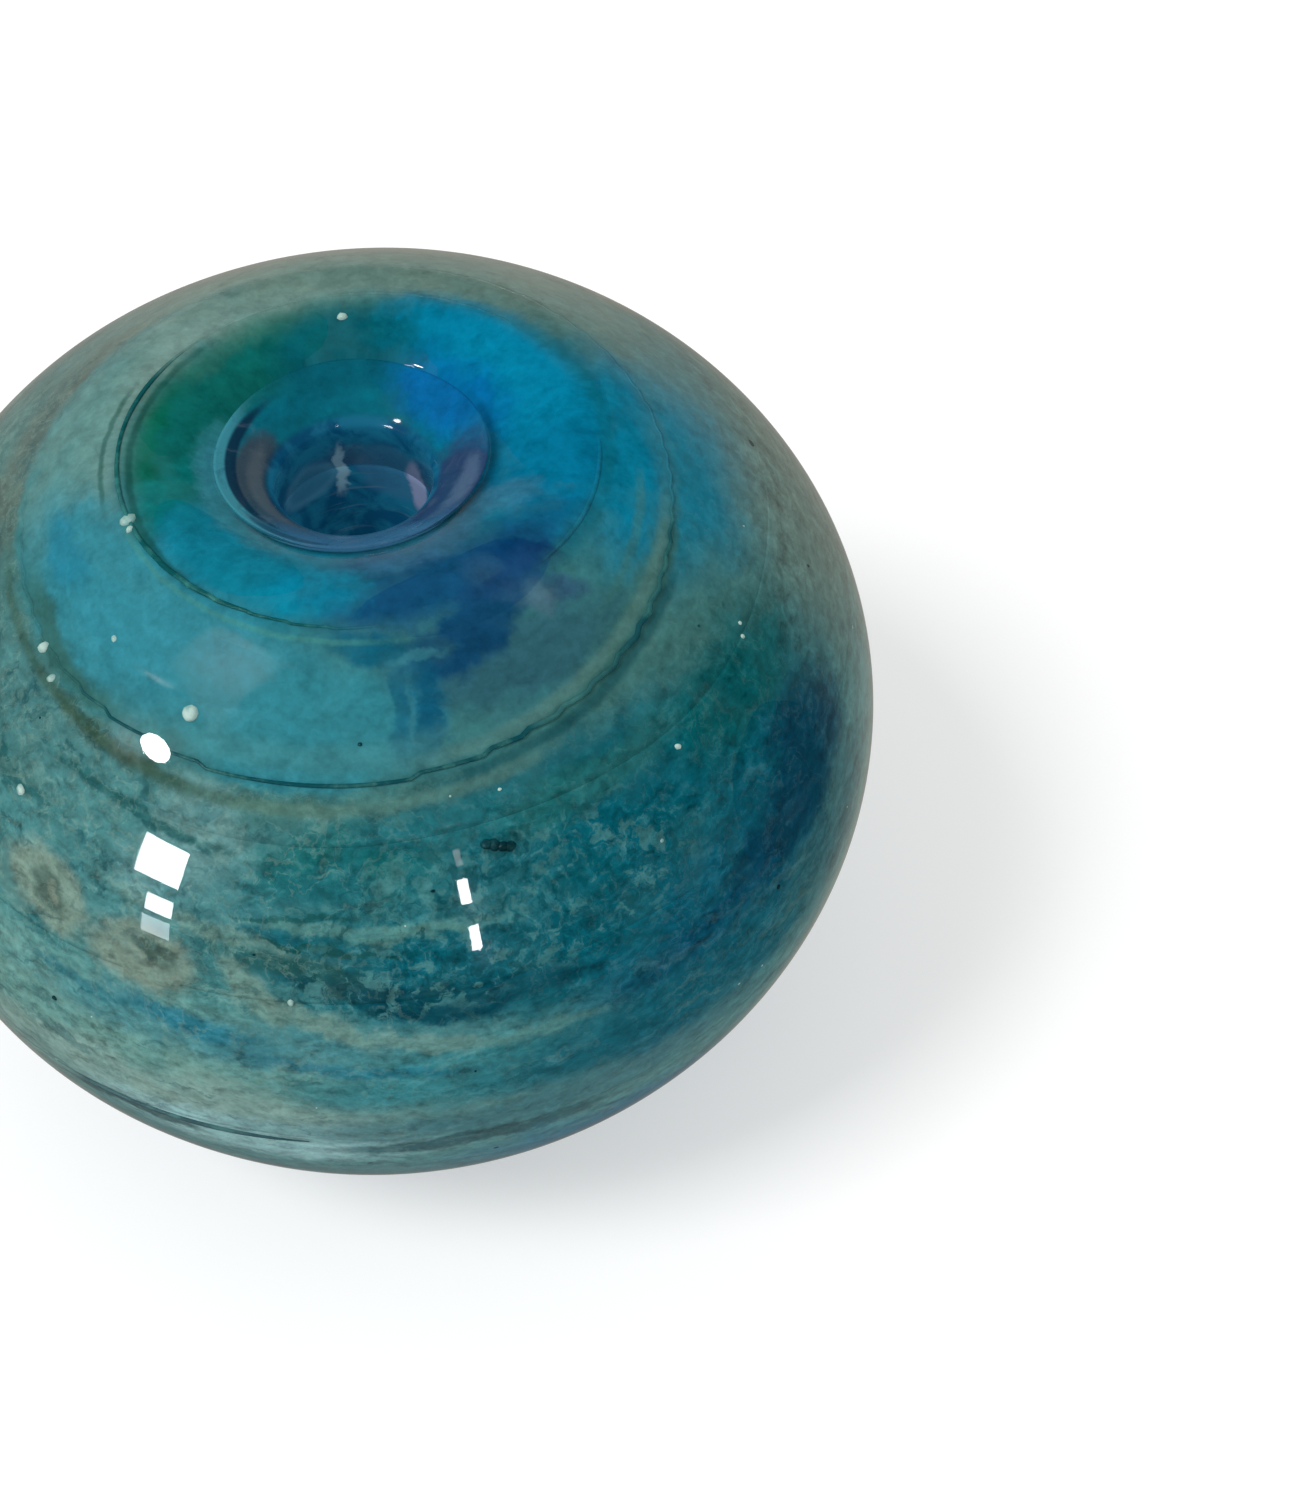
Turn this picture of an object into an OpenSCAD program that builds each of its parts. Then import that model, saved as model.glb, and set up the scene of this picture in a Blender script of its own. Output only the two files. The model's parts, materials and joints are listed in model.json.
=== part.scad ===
// Large-hole art glass bead: coloured glass wraps, patches, trails and frit around a bore sleeve,
// all under one clear casing. The origin is the bead's centre, and the bore runs along Z.

/* [Bead] */
// Diameter across the belly
bead_d = 32; // [28:0.5:36]
// Height between the two crests, the rings that the bead rests on
bead_h = 24.3; // [23:0.1:26]
// Height of the belly's ellipse, which the crests cut short
belly_h = 27.2; // [26.5:0.1:28.5]
// Angle of the ellipse at which the belly passes into the crown
belly_end = 46; // [42:1:50]
// Diameter of the crest ring
crest_d = 14; // [13:0.5:15]

/* [Bore] */
// Diameter of the through bore, left by the forming rod
bore_d = 4.8; // [4.6:0.1:5]
// Depth of the bore's mouth below the crest
mouth_sink = 2.2; // [1.8:0.1:2.6]
// Outer diameter of the lip ring around each mouth
lip_d = 8.2; // [7.8:0.1:8.6]
// Wall thickness of the sleeve, the first glass wound on the rod
sleeve_t = 0.9; // [0.7:0.1:1.2]

/* [Layers] */
// Thickness of the clear casing
casing_t = 1.2; // [1:0.1:1.4]
// Thickness of the coloured wraps
wrap_t = 1.6; // [1.3:0.1:1.8]
// Height of a trail above the wraps
trail_h = 0.35; // [0.25:0.05:0.5]
// Width of a trail
trail_w = 0.4; // [0.3:0.05:0.6]
// Ellipse angle where the crown wrap meets the shoulder wrap
crown_cut = 34; // [32:1:36]
// Ellipse angle where the shoulder wrap meets the belly wrap
shoulder_cut = 14; // [12:1:16]

/* [Patches] */
// Points around the outline of one patch
patch_points = 26; // [18:2:36]
// Radius of the round cutter of a tan patch
tan_patch_r = 1.7; // [1.3:0.1:2]

/* [Hidden] */
$fn = 96;

bead_r = bead_d / 2;
crest_r = crest_d / 2;
crest_z = bead_h / 2;
bore_r = bore_d / 2;
mouth_z = crest_z - mouth_sink;
lip_r = lip_d / 2;
sleeve_r = bore_r + sleeve_t;

// Depths of the layer faces below the outside
wrap_top = casing_t;
wrap_bottom = casing_t + wrap_t;
trail_top = casing_t - trail_h;
crumb_ceiling = casing_t / 4;
pocket_bottom = casing_t + 0.3;

// Steps along the half outline: belly, shoulder and dimple
belly_steps = 23;
shoulder_steps = 8;
dimple_steps = 10;
deg_per_step = belly_end / belly_steps;
crest_index = belly_steps + shoulder_steps;
crown_index = round(crown_cut / deg_per_step);
shoulder_index = round(shoulder_cut / deg_per_step);

function unit(v) = v / norm(v);

function bezier(a, b, c, d, u) =
    pow(1 - u, 3) * a + 3 * pow(1 - u, 2) * u * b + 3 * (1 - u) * u * u * c + pow(u, 3) * d;

function belly_point(angle) = [bead_r * cos(angle), belly_h / 2 * sin(angle)];

belly_top = belly_point(belly_end);
belly_dir = unit([-bead_r * sin(belly_end), belly_h / 2 * cos(belly_end)]);
crest = [crest_r, crest_z];
mouth = [bore_r, mouth_z];
shoulder_pull = norm(crest - belly_top) / 3;
crest_pull = 0.4 * (crest_r - bore_r);
mouth_pull = 0.25 * mouth_sink;

// Half outline in r and z, from the equator over the crest and down to the bore's mouth
half_outline = [
    for (i = [0:belly_steps]) belly_point(i * deg_per_step),
    for (i = [1:shoulder_steps])
        bezier(belly_top, belly_top + shoulder_pull * belly_dir,
            crest + [shoulder_pull, 0], crest, i / shoulder_steps),
    for (i = [1:dimple_steps])
        bezier(crest, crest - [crest_pull, 0], mouth + [0, mouth_pull], mouth, i / dimple_steps)
];
last_index = len(half_outline) - 1;

function along(i) = half_outline[min(i + 1, last_index)] - half_outline[max(i - 1, 0)];

// Direction from a point on the outline into the glass: square to the face outside the crest,
// straight down inside it, so that every layer reaches the lip
function inward(i) = i == 0 ? [-1, 0] : i >= crest_index ? [0, -1] : unit([-along(i)[1], along(i)[0]]);

function layer_point(i, depth) = half_outline[i] + depth * inward(i);

function at_radius(a, b, r) = a + (b - a) * (a[0] - r) / (a[0] - b[0]);

// Face at a depth from one step to another
function face(depth, from, to) = [for (i = [from:to]) layer_point(i, depth)];

// The same face from one step to the lip's wall
function face_to_lip(depth, from) = [
    for (i = [from:last_index])
        let (p = layer_point(i, depth), q = layer_point(max(i - 1, 0), depth))
        if (q[0] > lip_r) p[0] > lip_r ? p : at_radius(q, p, lip_r)
];

function reversed(list) = [for (i = [len(list) - 1:-1:0]) list[i]];

function mirrored(list) = [for (p = list) [p[0], -p[1]]];

function last(list) = list[len(list) - 1];

lip_floor = last(face_to_lip(wrap_bottom, 0))[1];
lip_edge = last(face_to_lip(0, 0));

// Ring of glass between two depths, from one step of the outline to another
module band(top, bottom, from, to) {
    rotate_extrude() polygon(concat(face(top, from, to), reversed(face(bottom, from, to))));
}

// Ring of glass between two depths, from one step of the outline to the lip
module crown_band(top, bottom, from) {
    rotate_extrude() polygon(concat(face_to_lip(top, from), reversed(face_to_lip(bottom, from))));
}

// Ring of glass between two depths around the equator, as far as one step each way
module belly_band(top, bottom, to) {
    outer = face(top, 0, to);
    inner = face(bottom, 0, to);
    rotate_extrude() polygon(concat(mirrored(reversed(outer)), [for (i = [1:to]) outer[i]],
        reversed(inner), mirrored([for (i = [1:to]) inner[i]])));
}

// Upright cutter over the crown, an ellipse bent around the bore:
// middle azimuth and half span in degrees, middle radius and half width in millimetres
module crown_petal(azimuth, span, radius, width) {
    linear_extrude(bead_h) polygon([
        for (i = [0:patch_points - 1])
            let (turn = 360 * i / patch_points, a = azimuth + span * cos(turn), r = radius + width * sin(turn))
            [r * sin(a), -r * cos(a)]
    ]);
}

// Sideways cutter through the belly, an ellipse seen along its azimuth
module side_petal(azimuth, height, half_w, half_h, lean) {
    rotate([0, 0, azimuth]) translate([0, 0, height]) rotate([90, 0, 0]) rotate([0, 0, lean])
        linear_extrude(bead_d) polygon([
            for (i = [0:patch_points - 1])
                let (turn = 360 * i / patch_points)
                [half_w * cos(turn), half_h * sin(turn)]
        ]);
}

// Round cutter square to the shoulder
module tan_petal(azimuth, tilt) {
    rotate([0, 0, azimuth]) rotate([90 - tilt, 0, 0]) cylinder(r = tan_patch_r, h = bead_d);
}

module cerulean_petal() crown_petal(113, 51, 6.9, 2.3);
module violet_petal() crown_petal(24, 32, 7.1, 1.7);
module turquoise_petal() crown_petal(-47, 34, 6.0, 1.4);
module emerald_petal() crown_petal(-138, 50, 6.3, 1.7);
module aqua_petal() crown_petal(-42, 36, 9.4, 1.3);
module navy_petal() side_petal(54, 2.2, 3.1, 4.6, -28);
module teal_petal() side_petal(24, 5.6, 3.4, 1.9, 12);
module left_tan_petal() tan_petal(-52, 18);
module right_tan_petal() tan_petal(-31, 15);

// The part of the crown wrap's layer inside a cutter
module in_crown() {
    intersection() {
        crown_band(wrap_top, wrap_bottom, crown_index);
        children();
    }
}

// The part of the shoulder wrap's layer inside a cutter
module in_shoulder() {
    intersection() {
        band(wrap_top, wrap_bottom, shoulder_index, crown_index);
        children();
    }
}

// Patches set in the wraps
module cerulean_patch() {
    color("#0a86b4") in_crown() cerulean_petal();
}

module violet_patch() {
    color("#3a5590") in_crown() violet_petal();
}

module turquoise_patch() {
    color("#0f8ba0") in_crown() turquoise_petal();
}

module emerald_patch() {
    color("#12706a") in_crown() emerald_petal();
}

module aqua_patch() {
    color("#2e8b9c") in_crown() aqua_petal();
}

module navy_patch() {
    color("#0c4566") intersection() {
        union() {
            band(wrap_top, wrap_bottom, shoulder_index, crown_index);
            belly_band(wrap_top, wrap_bottom, shoulder_index);
        }
        navy_petal();
    }
}

module teal_patch() {
    color("#0a6a70") in_shoulder() teal_petal();
}

module tan_patch_left() {
    color("#8a9484") in_shoulder() left_tan_petal();
}

module tan_patch_right() {
    color("#8a9484") in_shoulder() right_tan_petal();
}

// Wraps, with openings for the patches that lie in them
module crown_wrap() {
    color("#4f8a8c") difference() {
        crown_band(wrap_top, wrap_bottom, crown_index);
        cerulean_petal();
        violet_petal();
        turquoise_petal();
        emerald_petal();
        aqua_petal();
    }
}

module shoulder_wrap() {
    color("#4c7f7f") difference() {
        band(wrap_top, wrap_bottom, shoulder_index, crown_index);
        navy_petal();
        teal_petal();
        left_tan_petal();
        right_tan_petal();
    }
}

module belly_wrap() {
    color("#2f7884") difference() {
        belly_band(wrap_top, wrap_bottom, shoulder_index);
        navy_petal();
    }
}

module hip_wrap() {
    color("#3d7f86") mirror([0, 0, 1]) band(wrap_top, wrap_bottom, shoulder_index, crown_index);
}

module foot_wrap() {
    color("#2a7f93") mirror([0, 0, 1]) crown_band(wrap_top, wrap_bottom, crown_index);
}

// Inner glass
module bore_sleeve() {
    color("#1d4a58") rotate_extrude()
        translate([bore_r, -lip_floor]) square([sleeve_t, 2 * lip_floor]);
}

module core_gather() {
    outer = face_to_lip(wrap_bottom, 0);
    color("#16606a") rotate_extrude() polygon(concat(
        mirrored(reversed(outer)), [for (i = [1:len(outer) - 1]) outer[i]],
        [[sleeve_r, lip_floor], [sleeve_r, -lip_floor]]));
}

// Lip ring around a mouth of the bore
module top_lip() {
    dimple = [for (i = [crest_index:last_index]) if (half_outline[i][0] < lip_r) half_outline[i]];
    color("#6f7c86") rotate_extrude()
        polygon(concat([[bore_r, lip_floor], [lip_r, lip_floor], lip_edge], dimple));
}

module bottom_lip() {
    mirror([0, 0, 1]) top_lip();
}

// Round trail over a crest, as a ring between two upright cylinders off the bead's axis
module ring_cutter(centre, radius) {
    translate(centre) difference() {
        cylinder(r = radius + trail_w / 2, h = bead_h);
        translate([0, 0, -1]) cylinder(r = radius - trail_w / 2, h = bead_h + 2);
    }
}

// Trail around the crest, down to a depth
module crown_loop(bottom) {
    intersection() {
        crown_band(trail_top, bottom, shoulder_index);
        ring_cutter([0.4, -0.25, 0], 7.35);
    }
}

// Trail around the shoulder, down to a depth
module shoulder_loop(bottom) {
    intersection() {
        crown_band(trail_top, bottom, shoulder_index);
        ring_cutter([-0.3, -1.4, 0], 10.4);
    }
}

// Trail along a parallel of the belly, down to a depth: height, first azimuth and sweep
module parallel_trail(bottom, height, first, sweep) {
    intersection() {
        belly_band(trail_top, bottom, crown_index);
        rotate([0, 0, first]) rotate_extrude(angle = sweep)
            translate([bead_r / 2, height - trail_w / 2]) square([bead_r, trail_w]);
    }
}

module belly_arc(bottom) parallel_trail(bottom, 3.4, -165, 105);
module hip_arc(bottom) parallel_trail(bottom, -3.8, -158, 144);

module crown_trail() {
    color("#0b3f47") crown_loop(wrap_top);
}

module shoulder_trail() {
    color("#12414a") shoulder_loop(wrap_top);
}

module belly_trail() {
    color("#a59a7c") belly_arc(wrap_top);
}

module hip_trail() {
    color("#1a4b55") hip_arc(wrap_top);
}

// Crumbs of frit that stand on the wraps inside the casing, each midway between two steps of the
// outline: azimuth and ellipse angle of each, and its radius
pale_crumbs = [[-74, 40, 0.22], [-66, 30, 0.25], [-58, 22, 0.22], [-29, 43, 0.2],
    [-13, 12, 0.24], [34, 20, 0.2], [80, 8, 0.22], [130, 26, 0.2], [-120, 16, 0.25]];
dark_crumbs = [[12, 30, 0.25], [48, 6, 0.2], [-44, 2, 0.22], [100, 30, 0.2], [-150, 28, 0.22]];

module crumb_ball(crumb) {
    step = floor(crumb[1] / deg_per_step);
    spot = (layer_point(step, wrap_top) + layer_point(step + 1, wrap_top)) / 2;
    rotate([0, 0, crumb[0] - 90]) translate([spot[0], 0, spot[1]]) sphere(r = crumb[2]);
}

module crumbs(list) {
    intersection() {
        belly_band(crumb_ceiling, wrap_top, belly_steps);
        for (crumb = list) crumb_ball(crumb);
    }
}

module pale_frit() {
    color("#b9cdc6") crumbs(pale_crumbs);
}

module dark_frit() {
    color("#123039") crumbs(dark_crumbs);
}

// Clear glass over everything, with a pocket for each trail and crumb
module clear_casing() {
    outer = face_to_lip(0, 0);
    inner = face_to_lip(wrap_top, 0);
    color("#9fc4c6", 0.35) difference() {
        rotate_extrude() polygon(concat(
            mirrored(reversed(outer)), [for (i = [1:len(outer) - 1]) outer[i]],
            reversed(inner), mirrored([for (i = [1:len(inner) - 1]) inner[i]])));
        crown_loop(pocket_bottom);
        shoulder_loop(pocket_bottom);
        belly_arc(pocket_bottom);
        hip_arc(pocket_bottom);
        for (crumb = concat(pale_crumbs, dark_crumbs)) crumb_ball(crumb);
    }
}

bore_sleeve();
core_gather();
crown_wrap();
shoulder_wrap();
belly_wrap();
hip_wrap();
foot_wrap();
cerulean_patch();
violet_patch();
turquoise_patch();
emerald_patch();
aqua_patch();
navy_patch();
teal_patch();
tan_patch_left();
tan_patch_right();
crown_trail();
shoulder_trail();
belly_trail();
hip_trail();
pale_frit();
dark_frit();
top_lip();
bottom_lip();
clear_casing();
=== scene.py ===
"""Looks of a large-hole art glass bead: marbled glass layers under a clear casing, on a white table."""
import json
import math
import random
from bisect import bisect
from types import SimpleNamespace

import bmesh
import bpy
from mathutils import Matrix, Vector, noise


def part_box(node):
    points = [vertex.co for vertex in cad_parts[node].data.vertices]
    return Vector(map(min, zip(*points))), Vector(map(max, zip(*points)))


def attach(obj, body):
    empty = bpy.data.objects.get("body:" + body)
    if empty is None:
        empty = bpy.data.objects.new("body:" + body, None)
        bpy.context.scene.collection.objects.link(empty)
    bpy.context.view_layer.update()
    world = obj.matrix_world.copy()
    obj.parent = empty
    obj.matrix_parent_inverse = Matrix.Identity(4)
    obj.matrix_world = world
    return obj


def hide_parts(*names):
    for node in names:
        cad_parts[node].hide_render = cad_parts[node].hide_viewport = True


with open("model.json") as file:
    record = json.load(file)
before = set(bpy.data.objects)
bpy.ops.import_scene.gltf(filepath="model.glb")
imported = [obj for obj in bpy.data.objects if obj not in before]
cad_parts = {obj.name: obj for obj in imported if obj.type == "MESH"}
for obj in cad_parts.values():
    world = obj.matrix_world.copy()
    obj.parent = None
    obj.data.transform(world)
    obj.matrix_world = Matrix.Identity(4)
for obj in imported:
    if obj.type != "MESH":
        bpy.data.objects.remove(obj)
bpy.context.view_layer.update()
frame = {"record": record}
random.seed(7)

# ------------------------------ sizes, from the frame, in metres
MM = 0.001
BEAD_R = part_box("clear_casing")[1][0]
CREST_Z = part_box("clear_casing")[1][2]
LIP_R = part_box("top_lip")[1][0]
LIP_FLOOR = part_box("top_lip")[0][2]
SLEEVE_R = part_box("bore_sleeve")[1][0]
BORE = next(m for m in frame["record"]["mounts"] if m["name"] == "through_bore")
BORE_R = BORE["dims"]["r_mm"] * MM
MOUTH_Z = BORE["dims"]["length_mm"] * MM / 2
WRAP_TOP = 1.2 * MM  # depth of the wraps' outside under the bead's outside
WRAP_BOTTOM = 2.8 * MM  # depth of their inside
BELLY_HALF_H = 13.6 * MM  # half height of the ellipse that the belly is part of
BELLY_END = math.radians(46)  # how far up the ellipse the belly runs
CREST_R = 7.0 * MM
CREST_PULL = 0.90 * MM  # how long the curve between crest and belly runs on level
BELLY_PULL = 2.30 * MM  # and how long it follows the belly's slope
MOUTH_STEPS, BROW_STEPS, BELLY_STEPS = 40, 40, 80
SKIN_WAVE = 0.05 * MM  # unevenness of the outside
WRAP_WAVE = 0.10 * MM  # unevenness of the wraps
THREAD_SUNK = 0.05 * MM  # how much deeper a thread lies where it hardly shows
BORE_GLOW = 0.46  # stands for the light that the glass lets into the bore
TABLE_GLOW = 0.41  # brings the table up to white with a light shadow


# ------------------------------ the bead's outline
def bezier(a, b, c, d, u):
    """Point at a share u of the curve from a to d that b and c pull on."""
    v = 1 - u
    return a * v**3 + b * 3 * v * v * u + c * 3 * v * u * u + d * u**3


def half_outline():
    """Points in r and z from the upper mouth over the crest to the equator."""
    belly_top = Vector((BEAD_R * math.cos(BELLY_END), BELLY_HALF_H * math.sin(BELLY_END)))
    belly_dir = Vector((-BEAD_R * math.sin(BELLY_END), BELLY_HALF_H * math.cos(BELLY_END))).normalized()
    crest = Vector((CREST_R, CREST_Z))
    mouth = Vector((BORE_R, MOUTH_Z))
    points = []
    for i in range(MOUTH_STEPS):
        points.append(bezier(mouth, mouth + Vector((0, 0.25 * (CREST_Z - MOUTH_Z))),
                             crest - Vector((0.4 * (CREST_R - BORE_R), 0)), crest, i / MOUTH_STEPS))
    for i in range(BROW_STEPS):
        points.append(bezier(crest, crest + Vector((CREST_PULL, 0)), belly_top + BELLY_PULL * belly_dir,
                             belly_top, i / BROW_STEPS))
    for i in range(BELLY_STEPS + 1):
        angle = BELLY_END * (1 - i / BELLY_STEPS)
        points.append(Vector((BEAD_R * math.cos(angle), BELLY_HALF_H * math.sin(angle))))
    return points


def full_outline():
    """The same on to the lower mouth, which mirrors the upper one."""
    upper = half_outline()
    return upper + [Vector((p.x, -p.y)) for p in reversed(upper[:-1])]


OUTLINE = full_outline()
RUNS = [0.0]
for before, after in zip(OUTLINE, OUTLINE[1:]):
    RUNS.append(RUNS[-1] + (after - before).length / BEAD_R)
RUN_END = RUNS[-1]
RUN_CREST = RUNS[MOUTH_STEPS]


def outline_at(run):
    """Point and outward normal in r and z, a run of so many bead radii from the upper mouth."""
    run = min(max(run, 0.0), RUN_END)
    high = min(bisect(RUNS, run), len(RUNS) - 1)
    low = high - 1
    share = (run - RUNS[low]) / (RUNS[high] - RUNS[low])
    point = OUTLINE[low].lerp(OUTLINE[high], share)
    a = OUTLINE[max(low - 1, 0)].lerp(OUTLINE[low], share)
    b = OUTLINE[high].lerp(OUTLINE[min(high + 1, len(OUTLINE) - 1)], share)
    along = (b - a).normalized()
    return point, Vector((-along.y, along.x))


def inward_at(run):
    """Direction into the glass: square to the face outside the crests, straight in inside them."""
    if run < RUN_CREST:
        return Vector((0, -1))
    if run > RUN_END - RUN_CREST:
        return Vector((0, 1))
    return -outline_at(run)[1]


def spin(point, azimuth):
    """A point in r and z turned to an azimuth in degrees: 0 faces the camera, 90 is to its right."""
    a = math.radians(azimuth)
    return Vector((point.x * math.sin(a), -point.x * math.cos(a), point.y))


def wave(azimuth, run, seed, size):
    """Smooth unevenness of a hand-made face, from -1 to 1."""
    p = spin(outline_at(run)[0], azimuth) / BEAD_R * size
    return noise.noise(p + Vector((seed, 2 * seed, -seed)))


def layer_point(azimuth, run, depth):
    """Point so deep under the bead's outside."""
    return spin(outline_at(run)[0] + inward_at(run) * depth, azimuth)


def run_at_radius(radius, start=0.0):
    """Run where the upper outline, followed outward from a start, first comes to a radius."""
    for run, point in zip(RUNS, OUTLINE):
        if run >= start and point.x >= radius:
            return run
    return RUN_END / 2


RUN_LIP = run_at_radius(LIP_R)


# ------------------------------ mesh helpers
def new_object(name, data):
    """An object in the scene."""
    obj = bpy.data.objects.new(name, data)
    bpy.context.collection.objects.link(obj)
    return obj


def finish_mesh(name, vertices, faces, runs, weld=False):
    """A smooth object from points and faces, that carries each point's run for the colours."""
    mesh = bpy.data.meshes.new(name)
    mesh.from_pydata([tuple(v) for v in vertices], [], faces)
    mesh.validate()
    attribute = mesh.attributes.new("run", "FLOAT", "POINT")
    attribute.data.foreach_set("value", runs)
    bm = bmesh.new()
    bm.from_mesh(mesh)
    bmesh.ops.recalc_face_normals(bm, faces=bm.faces)
    if weld:
        bmesh.ops.remove_doubles(bm, verts=bm.verts, dist=1e-6)
    bm.to_mesh(mesh)
    bm.free()
    for polygon in mesh.polygons:
        polygon.use_smooth = True
    return new_object(name, mesh)


def lathe(name, section, around):
    """A ring from a function of azimuth that gives the closed section's points and runs, in order."""
    vertices, runs, faces = [], [], []
    for k in range(around):
        for point, run in section(-180 + 360 * k / around):
            vertices.append(point)
            runs.append(run)
    count = len(vertices) // around
    for k in range(around):
        following = (k + 1) % around
        for i in range(count):
            j = (i + 1) % count
            faces.append((k * count + i, k * count + j, following * count + j, following * count + i))
    return finish_mesh(name, vertices, faces, runs)


def skin_depth(azimuth, run):
    """Unevenness of the bead's outside, always inward."""
    return SKIN_WAVE * (1 + wave(azimuth, run, 3.1, 1.6))


def wrap_depth(azimuth, run):
    """Depth of the wraps' outside, a little uneven."""
    return WRAP_TOP + WRAP_WAVE * wave(azimuth, run, 8.3, 2.2)


def layer_section(azimuth, start, end, steps, top, bottom):
    """Section of a layer between two runs: outside at a depth given by a function, inside at a depth."""
    spread = [start + (end - start) * i / steps for i in range(steps + 1)]
    outer = [(layer_point(azimuth, run, top(azimuth, run)), run) for run in spread]
    inner = [(layer_point(azimuth, run, bottom), run) for run in reversed(spread[::2])]
    return outer + inner


# ------------------------------ colour of the glass
def srgb(red, green, blue):
    """Linear colour of 0 to 255 display values."""
    def linear(value):
        value /= 255
        return value / 12.92 if value <= 0.04045 else ((value + 0.055) / 1.055) ** 2.4
    return (linear(red), linear(green), linear(blue), 1.0)


class Nodes:
    """Short forms for building a node tree."""

    def __init__(self, tree):
        self.tree = tree

    def add(self, kind, **settings):
        node = self.tree.nodes.new(kind)
        for key, value in settings.items():
            setattr(node, key, value)
        return node

    def put(self, socket, value):
        if isinstance(value, bpy.types.NodeSocket):
            self.tree.links.new(value, socket)
        elif value is not None:
            socket.default_value = value

    def give(self, node, **values):
        """Puts values on sockets by name, with _ for each space."""
        for name, value in values.items():
            self.put(node.inputs[name.replace("_", " ")], value)

    def fill(self, node, *values):
        """Puts values on the first sockets, in order."""
        for socket, value in zip(node.inputs, values):
            self.put(socket, value)

    def math(self, operation, a, b=None, c=None):
        node = self.add("ShaderNodeMath", operation=operation)
        self.fill(node, a, b, c)
        return node.outputs[0]

    def times(self, a, b):
        return self.math("MULTIPLY", a, b)

    def times_plus(self, a, b, c):
        return self.math("MULTIPLY_ADD", a, b, c)

    def minus(self, a, b):
        return self.math("SUBTRACT", a, b)

    def vector(self, operation, a, b=None, c=None):
        node = self.add("ShaderNodeVectorMath", operation=operation)
        self.fill(node, a, b, c)
        return node.outputs["Value" if operation == "LENGTH" else "Vector"]

    def combine(self, x, y, z=0.0):
        node = self.add("ShaderNodeCombineXYZ")
        self.fill(node, x, y, z)
        return node.outputs[0]

    def separate(self, vector):
        node = self.add("ShaderNodeSeparateXYZ")
        self.put(node.inputs[0], vector)
        return node.outputs

    def noise(self, vector, scale, detail=2.0, rough=0.5, distortion=0.0):
        node = self.add("ShaderNodeTexNoise")
        self.give(node, Vector=vector, Scale=scale, Detail=detail, Roughness=rough, Distortion=distortion)
        return node.outputs["Fac"], node.outputs["Color"]

    def ramp(self, value, low, high, to_low=0.0, to_high=1.0):
        node = self.add("ShaderNodeMapRange", interpolation_type="SMOOTHSTEP")
        self.give(node, Value=value, From_Min=low, From_Max=high, To_Min=to_low, To_Max=to_high)
        return node.outputs[0]

    def mix(self, share, a, b):
        node = self.add("ShaderNodeMix", data_type="RGBA")
        self.put(node.inputs["Factor"], share)
        self.put(node.inputs[6], a)
        self.put(node.inputs[7], b)
        return node.outputs[2]

    def scaled(self, vector, factor):
        node = self.add("ShaderNodeVectorMath", operation="SCALE")
        self.put(node.inputs[0], vector)
        self.put(node.inputs["Scale"], factor)
        return node.outputs["Vector"]

    def place(self):
        """Where the point lies on the object, in metres."""
        return self.add("ShaderNodeTexCoord").outputs["Object"]

    def place_mm(self):
        return self.scaled(self.place(), 1 / MM)

    def run(self):
        return self.add("ShaderNodeAttribute", attribute_name="run").outputs["Fac"]

    def azimuth(self, place):
        """Azimuth of a place in degrees: 0 faces the camera, 90 is to its right."""
        x, y, _ = self.separate(place)
        turn = self.math("ARCTAN2", x, self.times(y, -1.0))
        return self.times(turn, 180 / math.pi)

    def away_from(self, azimuth, middle):
        """Degrees between two azimuths, never negative."""
        turned = self.math("WRAP", self.minus(azimuth, middle), 180.0, -180.0)
        return self.math("ABSOLUTE", turned)

    def nudged(self, place, tumble, reach):
        """A place moved by a noise colour, up to half of reach each way."""
        moved = self.vector("MULTIPLY_ADD", tumble, (reach,) * 3, place)
        return self.vector("SUBTRACT", moved, (reach / 2,) * 3)

    def bump(self, shader, height, strength, distance):
        node = self.add("ShaderNodeBump")
        self.give(node, Strength=strength, Distance=distance, Height=height)
        self.give(shader, Normal=node.outputs[0])


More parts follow.
